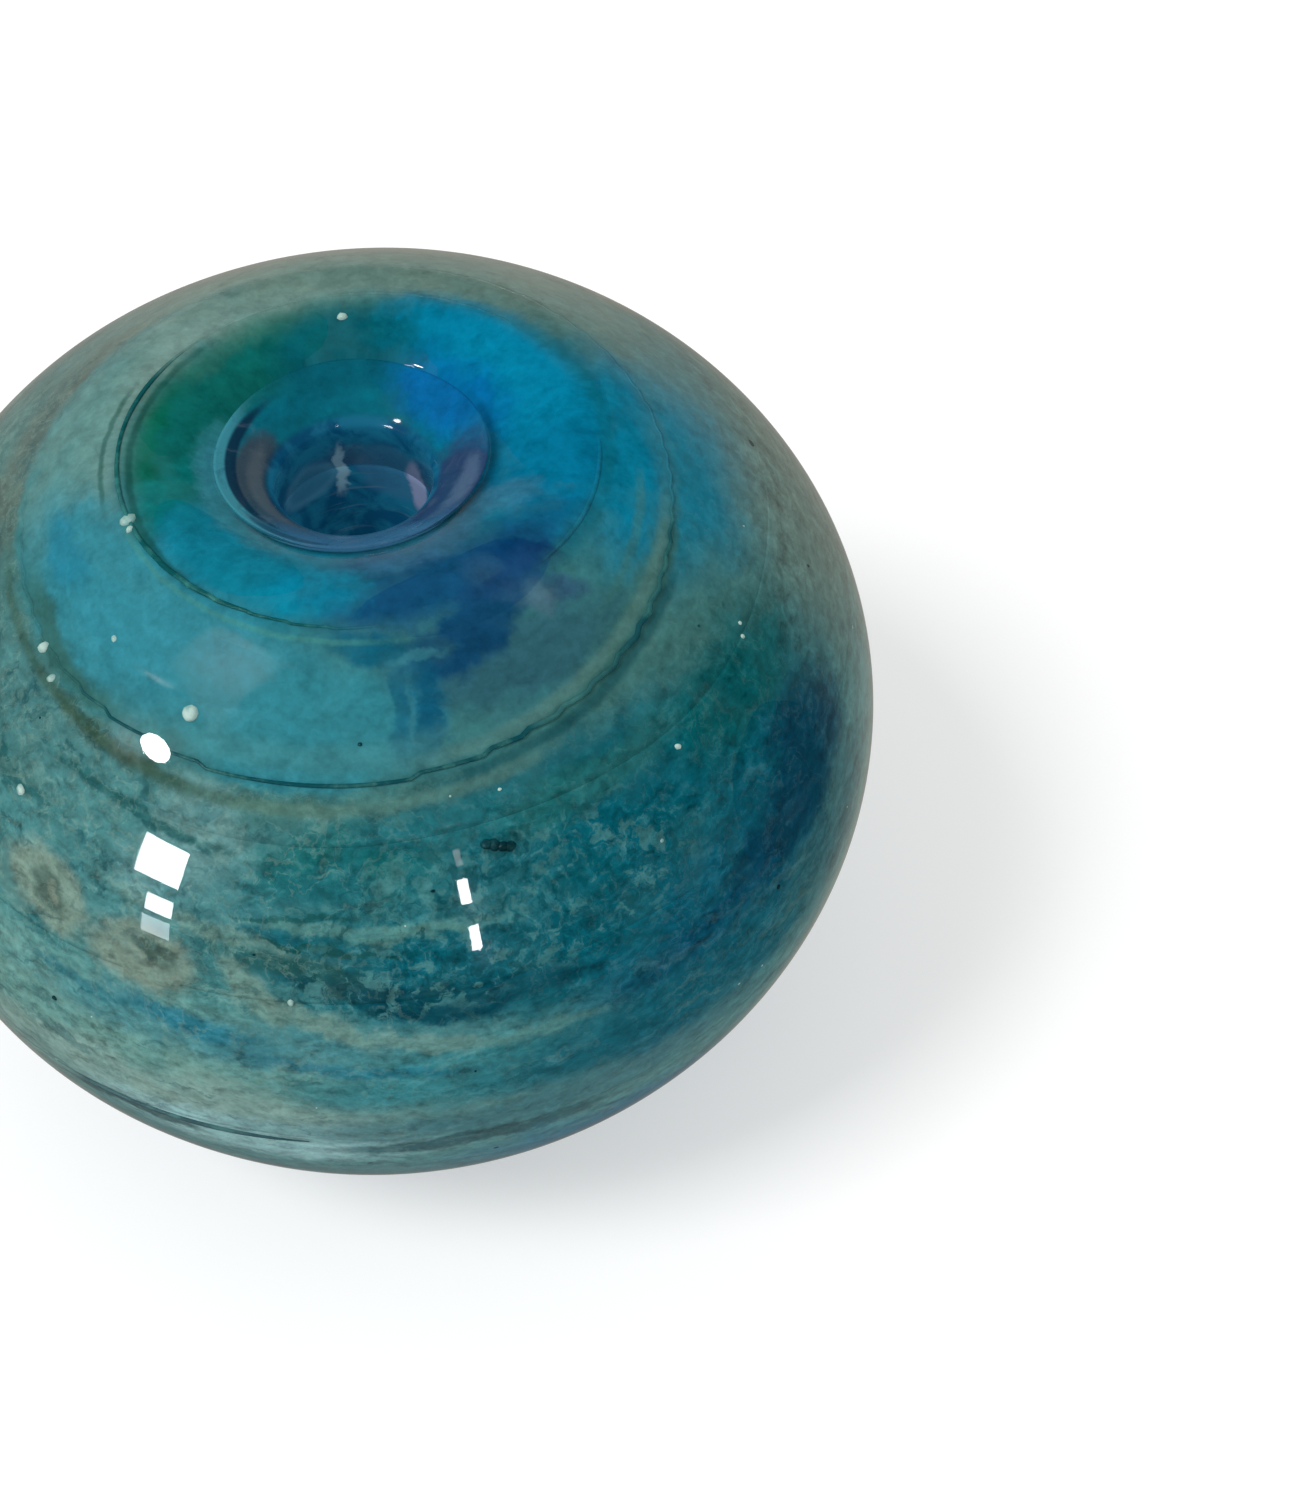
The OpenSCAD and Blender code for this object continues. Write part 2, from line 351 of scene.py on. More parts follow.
# Colours laid into the glass: azimuth and run of the middle, half span in degrees, half width in
# bead radii, softness of the edge, colour, how much of it shows, and for some the degrees that they
# lean down to the right. OUTER_BLOTS lie outside the shoulder thread, CROWN_BLOTS between the two
# threads and INNER_BLOTS inside the crown thread.
OUTER_BLOTS = [
    # Pale grey-green ground at the left and back, blue-green ground at the right
    (-150, 0.42, 60, 0.12, 0.5, (110, 136, 128), 0.9),
    (-115, 0.56, 30, 0.09, 0.5, (80, 94, 86), 0.8, 10),
    (165, 0.55, 50, 0.20, 0.6, (106, 130, 122), 0.9),
    (-62, 0.75, 26, 0.12, 0.5, (66, 106, 106), 0.9),
    (-35, 0.92, 26, 0.20, 0.5, (66, 116, 118), 0.9),
    (96, 0.70, 22, 0.14, 0.6, (72, 118, 124), 0.8),
    (96, 0.95, 22, 0.20, 0.6, (92, 116, 108), 0.9),
    (84, 0.52, 26, 0.17, 0.5, (12, 112, 136), 0.95),
    # Deep teal field in front and to the right
    (25, 0.97, 45, 0.27, 0.22, (4, 86, 100), 1.0),
    (56, 0.84, 14, 0.11, 0.4, (4, 84, 88), 0.9),
    (-6, 0.86, 12, 0.10, 0.4, (16, 92, 92), 0.8),
    (10, 0.78, 18, 0.04, 0.5, (28, 98, 106), 0.8),
    (28, 0.80, 16, 0.05, 0.5, (30, 94, 94), 0.7, -6),
    # Navy crescent
    (40, 1.22, 26, 0.16, 0.4, (6, 84, 104), 0.9, -20),
    (61, 1.10, 10, 0.13, 0.3, (0, 62, 82), 1.0, -50),
    (48, 1.20, 16, 0.09, 0.3, (0, 58, 80), 1.0, -38),
    (32, 1.29, 16, 0.07, 0.4, (0, 70, 96), 0.95, -18),
    # Lower side: pale on the left, partly real colour and partly painted reflection of the lit white
    # table, teal-blue on the right
    (-40, 1.32, 30, 0.16, 0.5, (98, 140, 134), 0.9),
    (-32, 1.48, 28, 0.10, 0.4, (126, 154, 146), 0.9),
    (-20, 1.58, 20, 0.09, 0.4, (146, 186, 188), 0.95),
    (-22, 1.25, 24, 0.05, 0.5, (50, 116, 128), 0.6),
    (-27, 0.80, 6, 0.13, 0.5, (106, 142, 142), 0.55),
    (-10, 0.95, 26, 0.035, 0.5, (66, 118, 122), 0.5, 4),
    (8, 1.36, 22, 0.09, 0.5, (48, 118, 126), 0.9),
    (34, 1.38, 24, 0.11, 0.5, (14, 86, 102), 0.95, -6),
    (62, 1.32, 12, 0.10, 0.5, (50, 94, 100), 0.8, -30),
    (12, 1.52, 30, 0.06, 0.5, (62, 108, 114), 0.9),
    (-36, 1.58, 9, 0.028, 0.3, (34, 74, 76), 0.9, 4),
    (6, 1.60, 17, 0.030, 0.3, (34, 78, 86), 0.9),
    (2, 0.92, 20, 0.09, 0.4, (34, 100, 108), 0.7),
    # Tan blotches, each with a darker middle
    (-46, 1.04, 7, 0.070, 0.25, (114, 134, 122), 0.9, 20),
    (-46, 1.05, 3.5, 0.030, 0.3, (62, 86, 80), 0.8, 30),
    (-45, 1.05, 1.5, 0.012, 0.3, (112, 124, 110), 0.8, 30),
    (-32, 1.09, 6.5, 0.070, 0.25, (112, 128, 116), 0.9, 10),
    (-31, 1.07, 3.5, 0.022, 0.3, (50, 74, 68), 0.8, 20),
    (-19, 1.12, 6, 0.030, 0.4, (104, 134, 124), 0.8, 55),
    (-11, 1.19, 7, 0.026, 0.4, (106, 136, 126), 0.85, 26),
    (1, 1.24, 9, 0.020, 0.4, (98, 134, 128), 0.85, 12),
    (13, 1.27, 8, 0.016, 0.4, (76, 122, 120), 0.7, 4),
    # Dark crackled lens below them and a blue one beside it
    (-8, 1.10, 8, 0.045, 0.2, (2, 56, 66), 1.0, 24),
    (2, 1.15, 9, 0.045, 0.2, (2, 60, 74), 1.0, 10),
    (12, 1.15, 8, 0.035, 0.3, (2, 66, 80), 0.9, 6),
    (-16, 1.04, 10, 0.030, 0.4, (28, 76, 76), 0.8, 10),
    (-27, 1.22, 9, 0.030, 0.5, (20, 104, 126), 0.7, 14),
    (-8, 1.31, 14, 0.018, 0.5, (20, 100, 122), 0.6, 6),
    (-40, 1.21, 8, 0.020, 0.4, (34, 98, 110), 0.7, 6),
    (-26, 0.99, 12, 0.020, 0.4, (98, 130, 122), 0.7, 10),
    (-4, 0.98, 15, 0.014, 0.4, (76, 122, 118), 0.9, 3),
    (-9, 1.015, 9, 0.008, 0.3, (12, 66, 66), 0.9, 4),
    (-14, 0.955, 8, 0.008, 0.3, (20, 74, 72), 0.7, -4),
    (-44, 0.70, 14, 0.022, 0.5, (44, 70, 58), 0.8, 8),
    (-60, 0.86, 12, 0.020, 0.4, (30, 78, 80), 0.8, 8),
    (-38, 0.80, 16, 0.014, 0.4, (28, 82, 84), 0.8, 8),
    # Out of sight behind and below, in the same manner
    (-150, 0.95, 30, 0.16, 0.4, (10, 108, 128), 0.9, 10),
    (150, 1.05, 28, 0.18, 0.4, (8, 92, 100), 0.9, -12),
    (-110, 1.25, 22, 0.12, 0.4, (4, 70, 98), 0.9, 14),
    (110, 1.30, 26, 0.10, 0.5, (52, 128, 140), 0.8, -10),
    (180, 1.35, 30, 0.10, 0.3, (2, 64, 84), 0.9, 8),
    (140, 0.80, 10, 0.06, 0.35, (98, 118, 106), 0.9, 20),
    (-165, 1.18, 22, 0.10, 0.35, (4, 78, 92), 0.95, 14),
    (-140, 1.12, 7, 0.060, 0.3, (114, 132, 118), 0.85, 10),
    (-140, 1.12, 3, 0.024, 0.3, (54, 78, 70), 0.8, 20),
    (-124, 1.06, 6, 0.050, 0.3, (110, 130, 116), 0.85, 20),
    (-124, 1.05, 3, 0.018, 0.3, (50, 76, 70), 0.8, 20),
    (-152, 1.32, 18, 0.022, 0.4, (104, 136, 126), 0.85, 14),
    (-135, 1.42, 20, 0.040, 0.4, (16, 96, 122), 0.85, 6),
    (165, 1.22, 16, 0.022, 0.4, (100, 134, 126), 0.8, -12),
    (-120, 0.90, 20, 0.050, 0.4, (14, 96, 100), 0.8, -8),
    (-100, 1.50, 24, 0.040, 0.4, (34, 76, 84), 0.8),
    (40, 1.85, 36, 0.16, 0.4, (8, 100, 128), 0.9, 8),
    (-60, 1.95, 40, 0.14, 0.4, (14, 84, 112), 0.9, -8),
    (160, 1.80, 34, 0.16, 0.4, (22, 104, 98), 0.9),
    (90, 2.30, 60, 0.20, 0.4, (6, 114, 142), 0.9),
    (-90, 2.35, 60, 0.18, 0.4, (20, 96, 96), 0.9),
    (0, 2.25, 30, 0.12, 0.4, (30, 70, 110), 0.9),
]
CROWN_BLOTS = [
    (-145, 0.38, 60, 0.08, 0.5, (112, 138, 130), 0.9),
    (-100, 0.46, 34, 0.10, 0.5, (92, 132, 128), 0.9),
    (-48, 0.48, 42, 0.15, 0.3, (46, 120, 134), 1.0),
    (-14, 0.57, 24, 0.12, 0.3, (44, 118, 130), 1.0),
    (-76, 0.50, 9, 0.04, 0.5, (30, 112, 134), 0.9),
    (-62, 0.62, 16, 0.03, 0.5, (46, 84, 76), 0.8, 6),
    (0, 0.43, 9, 0.04, 0.3, (6, 84, 108), 0.9, 10),
    (86, 0.47, 28, 0.18, 0.4, (4, 114, 142), 1.0),
    (30, 0.54, 26, 0.08, 0.4, (42, 86, 98), 0.95, 8),
    (24, 0.42, 20, 0.07, 0.25, (14, 62, 94), 1.0, -14),
    (38, 0.43, 10, 0.045, 0.3, (44, 78, 104), 0.9, 20),
    (37, 0.44, 2.6, 0.035, 0.7, (84, 112, 124), 0.55, 30),
    (50, 0.62, 28, 0.05, 0.5, (56, 104, 100), 0.9, -8),
    (8, 0.55, 5.5, 0.10, 0.4, (14, 90, 116), 0.8),
    (11, 0.54, 1.8, 0.10, 0.5, (6, 72, 100), 0.7),
    (4, 0.55, 1.5, 0.09, 0.5, (8, 80, 104), 0.6),
    (7.5, 0.56, 1.0, 0.08, 0.6, (48, 112, 126), 0.6),
    (8, 0.46, 7, 0.012, 0.5, (50, 112, 124), 0.6),
    (104, 0.56, 24, 0.06, 0.7, (50, 110, 124), 0.8),
    (165, 0.45, 42, 0.10, 0.5, (100, 124, 114), 0.9),
]
INNER_BLOTS = [
    (-50, 0.24, 50, 0.16, 0.35, (14, 116, 138), 1.0),
    (-130, 0.24, 60, 0.12, 0.3, (8, 92, 88), 1.0),
    (-160, 0.32, 40, 0.05, 0.5, (56, 104, 92), 0.8),
    (-104, 0.30, 26, 0.04, 0.4, (6, 92, 72), 0.9),
    (-80, 0.26, 22, 0.05, 0.5, (6, 106, 104), 0.9, 20),
    (-75, 0.15, 44, 0.045, 0.4, (52, 124, 138), 0.95),
    (-12, 0.30, 16, 0.06, 0.4, (0, 120, 146), 1.0),
    (-6, 0.26, 2.5, 0.06, 0.4, (40, 134, 156), 0.5),
    (108, 0.28, 56, 0.25, 0.15, (0, 114, 146), 1.0),
    (128, 0.14, 32, 0.09, 0.5, (2, 96, 158), 0.9),
    (72, 0.28, 20, 0.16, 0.5, (0, 100, 132), 0.8),
    (178, 0.20, 26, 0.12, 0.4, (2, 84, 98), 0.9),
    (24, 0.33, 34, 0.13, 0.3, (14, 70, 104), 1.0),
    (22, 0.185, 34, 0.050, 0.5, (48, 94, 124), 0.9),
    (-14, 0.26, 14, 0.05, 0.5, (4, 116, 146), 0.8),
    (42, 0.35, 8, 0.05, 0.3, (2, 48, 88), 0.9, 30),
    (30, 0.31, 5, 0.03, 0.7, (52, 84, 112), 0.45),
    (34, 0.36, 12, 0.04, 0.5, (24, 58, 98), 0.7),
    (60, 0.22, 8, 0.05, 0.4, (60, 108, 130), 0.5),
]
# Where pale dashes lie on dark glass, as bark does: azimuth, run, half sizes, and how much shows
BARK = [
    (14, 0.98, 26, 0.16, 0.70),
    (-4, 1.12, 14, 0.06, 0.75),
    (-30, 0.98, 14, 0.10, 0.4),
    (-60, 0.72, 18, 0.08, 0.5),
    (150, 1.0, 30, 0.2, 0.6),
    (-150, 1.05, 34, 0.2, 0.7),
]
LIP_BLOTS = [
    (-75, 0.15, 52, 0.050, 0.3, (52, 124, 138), 0.95),
    (-65, 0.05, 62, 0.060, 0.15, (48, 64, 76), 0.95),
    (10, 0.10, 54, 0.10, 0.4, (50, 92, 124), 0.95),
    (66, 0.07, 34, 0.10, 0.3, (34, 54, 88), 0.95),
    (62, 0.11, 22, 0.025, 0.4, (70, 94, 120), 0.7),
    (-75, 0.055, 34, 0.02, 0.5, (78, 90, 98), 0.6),
    (-80, 0.012, 70, 0.022, 0.4, (8, 44, 68), 0.9),
    (-88, 0.108, 50, 0.012, 0.3, (8, 40, 62), 0.95),
    (-35, 0.125, 22, 0.010, 0.3, (22, 60, 84), 0.8),
]
# Threads wound around the crown: centre in x and y, radius, and how much nearer to the centre the
# ring lies on the wraps, in millimetres
CROWN_RING = (0.4, -0.25, 7.35, 0.10)
SHOULDER_RING = (-0.3, -1.4, 10.2, 0.50)
# Pale and dark lines beside the threads: ring, step outward in millimetres, half width, azimuth of
# the middle, half span, colour, and how much of it shows
LINES = [
    (SHOULDER_RING, -0.42, 0.26, 40, 42, (84, 120, 114), 0.55),
    (SHOULDER_RING, 0.10, 0.22, 36, 32, (4, 62, 70), 0.65),
    (SHOULDER_RING, 0.30, 0.20, -45, 45, (54, 78, 62), 0.6),
    (SHOULDER_RING, 0.34, 0.22, 0, 30, (84, 118, 108), 0.5),
    (SHOULDER_RING, -0.75, 0.50, -8, 34, (66, 118, 120), 0.35),
    (SHOULDER_RING, -1.1, 0.20, 62, 18, (60, 112, 108), 0.45),
    (CROWN_RING, 0.22, 0.12, -34, 46, (64, 128, 120), 0.5),
    (CROWN_RING, -0.05, 0.34, 95, 55, (8, 92, 104), 0.45),
    (CROWN_RING, -0.10, 0.16, -90, 60, (4, 58, 52), 0.6),
    (CROWN_RING, 0.55, 0.10, -100, 26, (20, 70, 62), 0.6),
]


RUN_PER_DEGREE = 0.016  # how far one degree of turn is on the bead's side, in bead radii
SLIM = 0.08  # blots with less than this half width are placed by the calmer spot


def blend_blots(n, colour, spot, blots, calm=None):
    """Lays soft-edged patches of colour over a colour, in order. Slim ones use the calmer spot."""
    for middle_a, middle_r, half_a, half_r, soft, tint, share, *lean in blots:
        start = calm if calm and half_r < SLIM else spot
        away = n.vector("SUBTRACT", start, (middle_a, middle_r, 0))
        away = n.vector("WRAP", away, (180, 9, 9), (-180, -9, -9))
        away = n.vector("MULTIPLY", away, (RUN_PER_DEGREE, 1, 1))
        if lean:
            turn = n.add("ShaderNodeVectorRotate", rotation_type="Z_AXIS")
            n.give(turn, Vector=away, Angle=-math.radians(lean[0]))
            away = turn.outputs[0]
        away = n.vector("DIVIDE", away, (half_a * RUN_PER_DEGREE, half_r, 1))
        mask = n.ramp(n.vector("LENGTH", away), 1 - soft, 1 + soft, share, 0.0)
        colour = n.mix(mask, colour, srgb(*tint))
    return colour


def ring_distance(n, place, ring):
    """Millimetres outward from a ring, seen from above."""
    x, y, _ = n.separate(place)
    flat = n.combine(x, y)
    reach = n.vector("LENGTH", n.vector("SUBTRACT", flat, (ring[0], ring[1], 0)))
    return n.minus(reach, ring[2] - ring[3])


def find_spot(n):
    """Where a point lies, with the swirls of the glass in it. spot is azimuth and run with strong
    swirls and calm with weak ones; swirl and near are the places that they come from."""
    at = SimpleNamespace(place=n.place_mm(), run=n.run())
    at.broad = n.noise(at.place, 0.32, 1.0)[1]
    at.fine = n.noise(at.place, 1.5, 3.0, 0.6)[1]
    _, broad_y, broad_z = n.separate(at.broad)
    fine_x, _, fine_z = n.separate(at.fine)

    at.swirl = n.nudged(n.nudged(at.place, at.broad, 2.0), at.fine, 1.3)
    at.azimuth = n.azimuth(at.swirl)
    bent = n.times_plus(broad_z, 0.12, at.run)
    bent = n.times_plus(fine_x, 0.08, bent)
    at.bent = n.minus(bent, 0.10)
    at.spot = n.combine(at.azimuth, at.bent)

    at.near = n.nudged(n.nudged(at.place, at.broad, 0.9), at.fine, 0.8)
    level = n.times_plus(broad_y, 0.06, at.run)
    level = n.times_plus(fine_z, 0.06, level)
    at.calm = n.combine(n.azimuth(at.near), n.minus(level, 0.06))
    at.left = n.ramp(at.azimuth, 12.0, -24.0)
    return at


def side_colour(n, at):
    """Colour outside the shoulder thread: ground, blots, and threads drawn out along the turn."""
    colour = n.mix(n.ramp(at.bent, 0.7, 1.0), srgb(60, 106, 104), srgb(48, 106, 108))
    colour = n.mix(n.ramp(at.bent, 1.08, 1.22), colour, srgb(78, 128, 128))
    colour = n.mix(n.ramp(at.bent, 1.6, 2.1), colour, srgb(40, 106, 116))
    colour = blend_blots(n, colour, at.spot, OUTER_BLOTS, at.calm)

    drawn = n.vector("MULTIPLY", at.swirl, (0.35, 0.35, 2.4))
    streak = n.noise(drawn, 0.9, 4.0, 0.6, 0.4)[0]
    low = n.times(n.ramp(at.run, 1.15, 1.40), 0.8)
    streaky = n.math("MAXIMUM", low, at.left)
    pale = n.times(n.ramp(streak, 0.54, 0.68), n.times_plus(streaky, 0.34, 0.04))
    colour = n.mix(pale, colour, srgb(98, 130, 122))
    dark = n.times(n.ramp(streak, 0.46, 0.32), n.times_plus(streaky, 0.30, 0.15))
    colour = n.mix(dark, colour, srgb(6, 70, 80))

    vein = n.noise(at.swirl, 0.75, 3.0, 0.55, 0.8)[0]
    vein = n.ramp(n.math("ABSOLUTE", n.minus(vein, 0.5)), 0.030, 0.002)
    vein = n.times(vein, n.times_plus(at.left, 0.24, 0.08))
    return n.mix(vein, colour, srgb(112, 138, 126))


def add_bark(n, at, colour):
    """Pale dashes on dark glass, as bark has."""
    bark = n.noise(n.vector("MULTIPLY", at.near, (1.0, 1.0, 0.8)), 2.1, 4.0, 0.6, 0.5)[0]
    for middle_a, middle_r, half_a, half_r, share in BARK:
        away = n.vector("SUBTRACT", at.calm, (middle_a, middle_r, 0))
        away = n.vector("DIVIDE", away, (half_a, half_r, 1))
        here = n.ramp(n.vector("LENGTH", away), 1.2, 0.7, 0.0, share)
        pale = n.times(n.ramp(bark, 0.51, 0.62), here)
        colour = n.mix(pale, colour, srgb(66, 118, 120))
        dark = n.times(n.ramp(bark, 0.48, 0.38), here)
        colour = n.mix(dark, colour, srgb(2, 66, 76))
    return colour


def add_crown(n, at, above, colour):
    """Lays the colours inside the two threads over the colour of the sides."""
    crown = blend_blots(n, srgb(52, 108, 112), at.spot, CROWN_BLOTS, at.calm)
    inner = blend_blots(n, srgb(4, 100, 116), at.spot, INNER_BLOTS, at.calm)
    place = n.nudged(at.place, at.fine, 0.5)
    within = n.ramp(ring_distance(n, place, SHOULDER_RING), 0.15, -0.15)
    colour = n.mix(n.times(within, above), colour, crown)
    within = n.ramp(ring_distance(n, place, CROWN_RING), 0.45, -0.65)
    return n.mix(n.times(within, above), colour, inner)


def add_lines(n, at, above, colour):
    """Pale and dark lines beside the threads."""
    place = n.nudged(at.place, at.fine, 0.14)
    for ring, step, half, middle, span, tint, share in LINES:
        beside = n.math("ABSOLUTE", n.minus(ring_distance(n, place, ring), step))
        line = n.ramp(beside, half, 0.2 * half)
        reach = n.ramp(n.away_from(at.azimuth, middle), span, 0.6 * span, 0.0, share)
        mask = n.times(n.times(line, reach), above)
        colour = n.mix(mask, colour, srgb(*tint))
    return colour


def add_grain(n, at, colour):
    """Lighter and darker flecks drawn along the turn, strong on the sides, faint on the crown."""
    flat = n.vector("MULTIPLY_ADD", at.fine, (0.6, 0.6, 0.6), at.place)
    grain = n.noise(n.vector("MULTIPLY", flat, (1.0, 1.0, 2.0)), 1.35, 5.0, 0.62)[0]
    patchy = n.noise(at.place, 0.55, 2.0)[0]
    rough = n.times(n.ramp(at.run, 0.60, 0.85), n.ramp(patchy, 0.36, 0.60, 0.45, 1.0))
    rough = n.times(rough, n.ramp(at.run, 1.25, 1.50, 1.0, 0.5))
    strength = n.times_plus(rough, 0.40, 0.33)
    dust = n.minus(n.noise(at.place, 4.5, 2.0, 0.6)[0], 0.5)
    fleck = n.times_plus(dust, 0.35, n.minus(grain, 0.5))
    level = n.times_plus(n.times(fleck, 3.4), strength, 1.0)
    colour = n.scaled(colour, n.math("MAXIMUM", level, 0.45))
    haze = n.times(n.ramp(grain, 0.54, 0.66), n.times(rough, 0.22))
    haze = n.times(haze, n.times_plus(at.left, 0.75, 0.25))
    return n.mix(haze, colour, srgb(104, 134, 126)), grain


def colour_field():
    """A node group: the marbled colour of the glass, the grain in it, and where the point lies."""
    tree = bpy.data.node_groups.new("glass_colours", "ShaderNodeTree")
    for name, kind in (("Color", "Color"), ("Grain", "Float"), ("Spot", "Vector")):
        tree.interface.new_socket(name, in_out="OUTPUT", socket_type="NodeSocket" + kind)
    n = Nodes(tree)
    at = find_spot(n)
    above = n.ramp(at.run, 1.30, 1.25)
    colour = add_bark(n, at, side_colour(n, at))
    colour = add_crown(n, at, above, colour)
    colour = add_lines(n, at, above, colour)
    colour, grain = add_grain(n, at, colour)
    out = n.add("NodeGroupOutput")
    n.give(out, Color=colour, Grain=grain, Spot=at.spot)
    return tree


FIELD = colour_field()


def new_material(name):
    """A material, its shader and short forms for its nodes."""
    material = bpy.data.materials.new(name)
    material.use_nodes = True
    return material, material.node_tree.nodes["Principled BSDF"], Nodes(material.node_tree)


def field_material(name, tint, tint_share):
    """Coloured glass that takes the shared marbling, drawn a little towards its own tint."""
    material, shader, n = new_material(name)
    field = n.add("ShaderNodeGroup", node_tree=FIELD)
    cloud = n.noise(n.place(), 620.0, 3.0)[0]
    share = n.ramp(cloud, 0.40, 0.62, 0.0, tint_share)
    n.give(shader, Base_Color=n.mix(share, field.outputs["Color"], tint), IOR=1.5,
           Roughness=n.ramp(field.outputs["Grain"], 0.3, 0.7, 0.084, 0.18), Specular_IOR_Level=0.03)
    n.bump(shader, field.outputs["Grain"], 0.15, 0.02 * MM)
    return material


def thread_material(name, tint, pale, shown=None):
    """Glass thread or crumb: one colour clouded with a paler one. shown is the azimuth of the middle
    and the half span where a thread shows; elsewhere it takes the colour of the glass around it."""
    material, shader, n = new_material(name)
    cloud = n.noise(n.place(), 1400.0, 4.0, 0.6)[0]
    colour = n.mix(n.ramp(cloud, 0.42, 0.66), tint, pale)
    if shown:
        field = n.add("ShaderNodeGroup", node_tree=FIELD)
        azimuth = n.separate(field.outputs["Spot"])[0]
        reach = n.ramp(n.away_from(azimuth, shown[0]), shown[1], shown[1] - 25.0)
        broken = n.ramp(n.noise(n.place(), 170.0, 2.0)[0], 0.34, 0.48)
        colour = n.mix(n.times(reach, broken), field.outputs["Color"], colour)
    n.give(shader, Base_Color=colour, Roughness=n.ramp(cloud, 0.3, 0.7, 0.14, 0.3),
           Specular_IOR_Level=0.1)
    return material


def casing_material():
    """Clear glass with a fire-polished skin and faint waves in it."""
    material, shader, n = new_material("clear_glass")
    cloud = n.noise(n.place(), 160.0, 2.0)[0]
    n.give(shader, Base_Color=n.mix(cloud, srgb(250, 255, 254), srgb(240, 252, 250)), IOR=1.47,
           Roughness=n.ramp(cloud, 0.35, 0.65, 0.012, 0.035), Transmission_Weight=1.0)
    n.bump(shader, n.noise(n.place(), 260.0, 1.0)[0], 0.1, 0.02 * MM)
    return material


# Painted reflections on the bore's wall, pale and darker patches where the room's light reflects:
# azimuth, height in millimetres, half sizes, softness, colour, share
BORE_PAINTED_REFLECTIONS = [
    (-144, 8.2, 26, 0.75, 0.25, (56, 104, 128), 0.7),
    (-144, 8.2, 18, 0.50, 0.3, (18, 72, 98), 0.5),
    (-172, 8.3, 4, 0.95, 0.4, (112, 146, 160), 0.7),
    (150, 8.2, 26, 1.1, 0.2, (40, 84, 112), 0.7),
    (128, 8.0, 11, 1.0, 0.3, (112, 120, 148), 0.85),
]


def bore_colour(n):
    """Dark blue-teal glass with painted reflections on the bore's wall."""
    place = n.place_mm()
    cloud, tumble = n.noise(place, 0.9, 4.0, 0.6, 0.5)
    colour = n.mix(n.ramp(cloud, 0.38, 0.62), srgb(6, 60, 90), srgb(18, 86, 112))
    unsteady = n.times_plus(n.separate(tumble)[0], 24.0, n.azimuth(place))
    spot = n.combine(n.minus(unsteady, 12.0), n.separate(place)[2])
    return blend_blots(n, colour, spot, BORE_PAINTED_REFLECTIONS)


def sleeve_material():
    """Inside of the bore, with the dull rings that the forming rod left and light let in by the glass."""
    material, shader, n = new_material("sleeve_glass")
    rings = n.noise(n.vector("MULTIPLY", n.place_mm(), (0.5, 0.5, 5.0)), 1.2, 3.0)[0]
    colour = n.mix(n.ramp(rings, 0.55, 0.75, 0.0, 0.25), bore_colour(n), srgb(96, 118, 130))
    n.give(shader, Base_Color=colour, Emission_Color=colour, Emission_Strength=BORE_GLOW,
           Roughness=n.ramp(rings, 0.3, 0.7, 0.08, 0.25))
    n.bump(shader, rings, 0.2, 0.04 * MM)
    return material


def lip_material():
    """The lip takes the marbling at the back, is mauve and slate towards the front, and turns into
    the bore's wall on its inside."""
    material, shader, n = new_material("lip_glass")
    field = n.add("ShaderNodeGroup", node_tree=FIELD)
    place = n.place_mm()
    cloud = n.noise(place, 1.6, 4.0, 0.65, 0.6)[0]
    azimuth = n.separate(field.outputs["Spot"])[0]
    colour = n.mix(0.30, field.outputs["Color"], srgb(2, 56, 76))
    colour = blend_blots(n, colour, n.combine(azimuth, n.run()), LIP_BLOTS)
    front = n.ramp(n.math("ABSOLUTE", n.math("ADD", azimuth, 20.0)), 130.0, 90.0)
    pale = n.times(n.ramp(cloud, 0.52, 0.72, 0.0, 0.22), front)
    colour = n.mix(pale, colour, srgb(90, 108, 126))
    dark = n.times(n.ramp(cloud, 0.46, 0.30, 0.0, 0.35), front)
    colour = n.mix(dark, colour, srgb(14, 48, 74))
    x, y, _ = n.separate(place)
    wall = n.ramp(n.vector("LENGTH", n.combine(x, y)), 2.75, 2.50)
    colour = n.mix(wall, colour, bore_colour(n))
    # The lip glows as well, a quarter as strongly outside the bore's wall: painted light that stands for
    # light the glass lets in.
    glow = n.mix(wall, n.mix(0.75, colour, (0, 0, 0, 1)), colour)
    n.give(shader, Base_Color=colour, Emission_Color=glow, Emission_Strength=BORE_GLOW,
           Roughness=n.ramp(cloud, 0.3, 0.7, 0.22, 0.4), Specular_IOR_Level=0.03,
           Coat_Weight=0.5, Coat_Roughness=0.07)
    return material


# ------------------------------ pieces
def dress(obj, node, material):
    """Gives a piece its material and lets it stand for its CAD node. Each node has a slot of its own,
    but the two lips share one."""
    obj.data.materials.append(material)
    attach(obj, "root")
    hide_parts(node)


# The runs of the borders between the wraps, and the wraps' tints from top to bottom
WRAP_SEAMS = [0.80, 1.12, 1.56, 1.88]
WRAPS = {
    "crown_wrap": (70, 128, 130),
    "shoulder_wrap": (60, 112, 112),
    "belly_wrap": (40, 112, 122),
    "hip_wrap": (60, 122, 126),
    "foot_wrap": (30, 112, 128),
}


def seam(index):
    """Wavy border between two wraps, as a function of azimuth."""
    middle = WRAP_SEAMS[index]
    return lambda azimuth: middle + 0.035 * wave(azimuth, middle, 20 + index, 1.5)


def build_wraps():
    """Five bands of glass from lip to lip."""
    edges = [lambda azimuth: RUN_LIP] + [seam(i) for i in range(4)] + [lambda azimuth: RUN_END - RUN_LIP]
    for (name, tint), first, last in zip(WRAPS.items(), edges, edges[1:]):
        def section(azimuth):
            return layer_section(azimuth, first(azimuth), last(azimuth), 36, wrap_depth, WRAP_BOTTOM)
        dress(lathe(name + "_glass", section, 240), name, field_material(name, srgb(*tint), 0.12))


